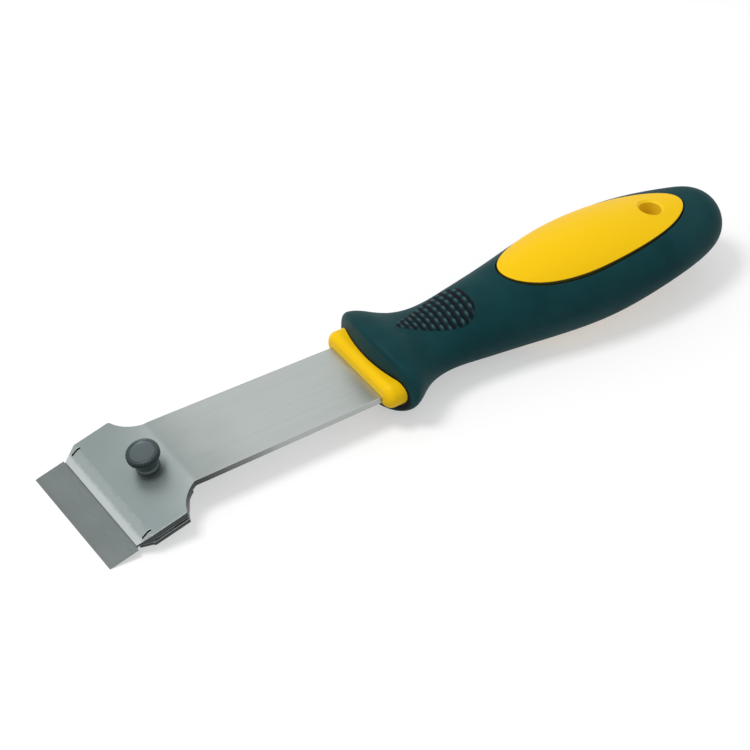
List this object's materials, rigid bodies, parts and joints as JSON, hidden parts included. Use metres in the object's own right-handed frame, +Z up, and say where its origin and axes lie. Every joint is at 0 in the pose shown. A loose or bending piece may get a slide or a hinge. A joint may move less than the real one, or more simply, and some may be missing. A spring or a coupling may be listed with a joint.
{
  "type": "razor blade scraper",
  "caption": "Hand scraper: a bent flat steel shank clamps a single-edge razor blade under a bevelled lip with a thumb screw, on a soft-grip handle with a hang hole.",
  "frame": {"origin": "under the middle of the tool's box, on the surface that it lies on", "axes": "+X along the tool from the butt to the blade edge, +Y to the left of someone pushing the blade away, +Z up from the surface"},
  "size_m": [0.199, 0.0394, 0.0261],
  "materials": {
    "blade_steel": "ground, fine cross grain, brighter ground bevel",
    "spine_steel": "folded strip, satin",
    "shank_steel": "brushed stainless, satin",
    "jaw_steel": "pressed stainless, satin",
    "nut_steel": "zinc-plated",
    "black_screw": "black oxide",
    "yellow_plastic": "moulded, semi-gloss",
    "green_grip": "soft-touch moulded, matt"
  },
  "bodies": {
    "scraper": {"shank": "shank_steel", "handle_core": "yellow_plastic", "grip": "green_grip"},
    "blade": {"razor_blade": "blade_steel", "blade_spine": "spine_steel"},
    "screw": {"thumb_screw": "black_screw"},
    "jaw": {"clamp_plate": "jaw_steel", "clamp_nut": "nut_steel"}
  },
  "joints": [
    {"name": "screw_turn", "type": "hinge", "parent": "scraper", "child": "screw", "pos_m": [0.07742, 0, 0.0084], "axis": [0.2588, 0, 0.9659], "range_deg": [0, 720]},
    {"name": "jaw_drop", "type": "slide", "parent": "scraper", "child": "jaw", "axis": [-0.2588, 0, -0.9659], "range_m": [0, 0.0014]},
    {"name": "blade_slide", "type": "slide", "parent": "scraper", "child": "blade", "axis": [0, 1, 0], "range_m": [-0.04, 0.04]}
  ],
  "couplings": [
    {"joint": "screw_turn", "follows": "jaw_drop", "rad_per_m": 8976}
  ]
}
